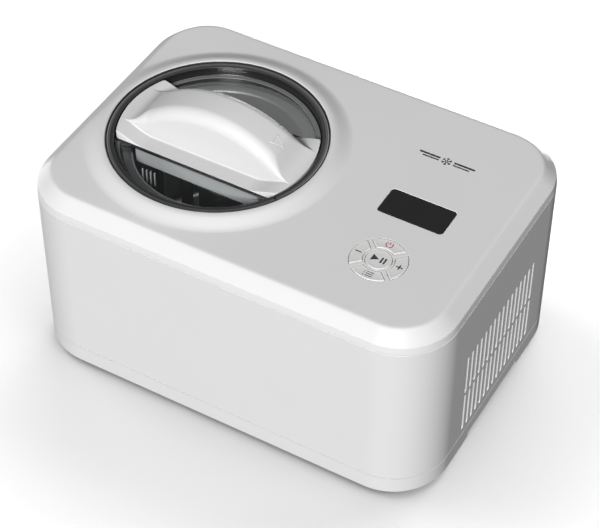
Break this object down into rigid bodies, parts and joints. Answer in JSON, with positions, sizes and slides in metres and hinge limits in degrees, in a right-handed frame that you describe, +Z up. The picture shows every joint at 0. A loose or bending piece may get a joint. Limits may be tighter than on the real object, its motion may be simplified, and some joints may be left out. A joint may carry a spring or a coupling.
{
  "type": "ice cream maker",
  "caption": "Compressor ice cream maker: low white cabinet with a clear twist-off lid and bridge handle over a lift-out bowl and paddle, dark display, push buttons and side air slots.",
  "frame": {"origin": "on the worktop, under the middle of the cabinet", "axes": "+X to the right along the length, +Y to the back, +Z up; the front faces -Y"},
  "size_m": [0.386, 0.275, 0.2294],
  "materials": {
    "white_shell": "satin-gloss moulded ABS",
    "white_satin": "satin moulded buttons",
    "clear_lid": "clear polished polycarbonate",
    "black_plastic": "fine satin black",
    "display_glass": "smoked glossy window",
    "silicone": "dark grey silicone",
    "rubber_feet": "matt black rubber",
    "steel": "plated steel",
    "bowl_aluminium": "drawn aluminium",
    "copper": "bare copper tube",
    "foam": "moulded insulating foam",
    "compressor_black": "black enamel on steel",
    "circuit_board": "green lacquered board",
    "paddle_plastic": "food-grade dark grey plastic",
    "gear_nylon": "natural nylon"
  },
  "bodies": {
    "cabinet": {"base_plate": "white_shell", "foot_front_left": "rubber_feet", "foot_front_right": "rubber_feet", "foot_rear_left": "rubber_feet", "foot_rear_right": "rubber_feet", "base_screw_front_left": "steel", "base_screw_front_right": "steel", "base_screw_rear_left": "steel", "base_screw_rear_right": "steel", "body_shell": "white_shell", "top_cover": "white_shell", "cord_gland": "black_plastic", "well_ring": "black_plastic", "display_window": "display_glass", "display_panel": "black_plastic", "control_board": "circuit_board", "button_pad": "silicone", "gearbox_base": "black_plastic", "gearbox_cover": "black_plastic", "shaft_bush": "gear_nylon", "drive_motor": "steel", "canister": "bowl_aluminium", "evaporator_coil": "copper", "insulation_jacket": "foam", "compressor": "compressor_black", "compressor_bracket": "steel", "compressor_mount_1": "rubber_feet", "compressor_mount_2": "rubber_feet", "compressor_mount_3": "rubber_feet", "compressor_mount_4": "rubber_feet", "start_relay": "black_plastic", "condenser": "bowl_aluminium", "fan_shroud": "black_plastic", "fan_motor": "steel", "filter_drier": "copper", "discharge_pipe": "copper", "suction_pipe": "copper", "liquid_pipe": "copper", "power_board": "circuit_board", "transformer": "steel"},
    "seal": {"lid_seal": "silicone"},
    "lid": {"lid_window": "clear_lid", "lid_handle": "white_shell", "handle_liner": "white_shell"},
    "bowl": {"bowl": "bowl_aluminium"},
    "paddle": {"mixing_paddle": "paddle_plastic"},
    "drive": {"drive_shaft": "steel", "drive_gear": "gear_nylon"},
    "pinion": {"motor_pinion": "steel"},
    "fan": {"fan_rotor": "black_plastic"},
    "button_power": {"button_power": "white_satin"},
    "button_plus": {"button_plus": "white_satin"},
    "button_menu": {"button_menu": "white_satin"},
    "button_minus": {"button_minus": "white_satin"},
    "button_start": {"button_start": "white_satin"}
  },
  "joints": [
    {"name": "lid_lift", "type": "slide", "parent": "cabinet", "child": "seal", "axis": [0, 0, 1], "range_m": [0, 0.24]},
    {"name": "lid_turn", "type": "hinge", "parent": "seal", "child": "lid", "pos_m": [-0.0745, -0.0045, 0.1914], "axis": [0, 0, 1], "range_deg": [0, 37]},
    {"name": "bowl_lift", "type": "slide", "parent": "cabinet", "child": "bowl", "axis": [0, 0, 1], "range_m": [0, 0.144]},
    {"name": "paddle_spin", "type": "hinge", "parent": "bowl", "child": "paddle", "pos_m": [-0.0745, -0.0045, 0.07], "axis": [0, 0, 1], "continuous": true},
    {"name": "gear_spin", "type": "hinge", "parent": "cabinet", "child": "drive", "pos_m": [-0.0745, -0.0045, 0.04], "axis": [0, 0, 1], "continuous": true},
    {"name": "pinion_spin", "type": "hinge", "parent": "cabinet", "child": "pinion", "pos_m": [-0.02925, -0.0045, 0.04], "axis": [0, 0, 1], "continuous": true},
    {"name": "fan_spin", "type": "hinge", "parent": "cabinet", "child": "fan", "pos_m": [0.15, -0.004, 0.075], "axis": [1, 0, 0], "continuous": true},
    {"name": "press_power", "type": "slide", "parent": "cabinet", "child": "button_power", "axis": [0, 0, -1], "range_m": [0, 0.0012], "stiffness_N_per_m": 400, "springref_m": -0.0006},
    {"name": "press_plus", "type": "slide", "parent": "cabinet", "child": "button_plus", "axis": [0, 0, -1], "range_m": [0, 0.0012], "stiffness_N_per_m": 400, "springref_m": -0.0006},
    {"name": "press_menu", "type": "slide", "parent": "cabinet", "child": "button_menu", "axis": [0, 0, -1], "range_m": [0, 0.0012], "stiffness_N_per_m": 400, "springref_m": -0.0006},
    {"name": "press_minus", "type": "slide", "parent": "cabinet", "child": "button_minus", "axis": [0, 0, -1], "range_m": [0, 0.0012], "stiffness_N_per_m": 400, "springref_m": -0.0006},
    {"name": "press_start", "type": "slide", "parent": "cabinet", "child": "button_start", "axis": [0, 0, -1], "range_m": [0, 0.0012], "stiffness_N_per_m": 400, "springref_m": -0.0006}
  ],
  "couplings": [
    {"joint": "bowl_lift", "follows": "lid_lift", "ratio": 0.6},
    {"joint": "paddle_spin", "follows": "gear_spin", "ratio": 1},
    {"joint": "pinion_spin", "follows": "gear_spin", "ratio": -4}
  ]
}
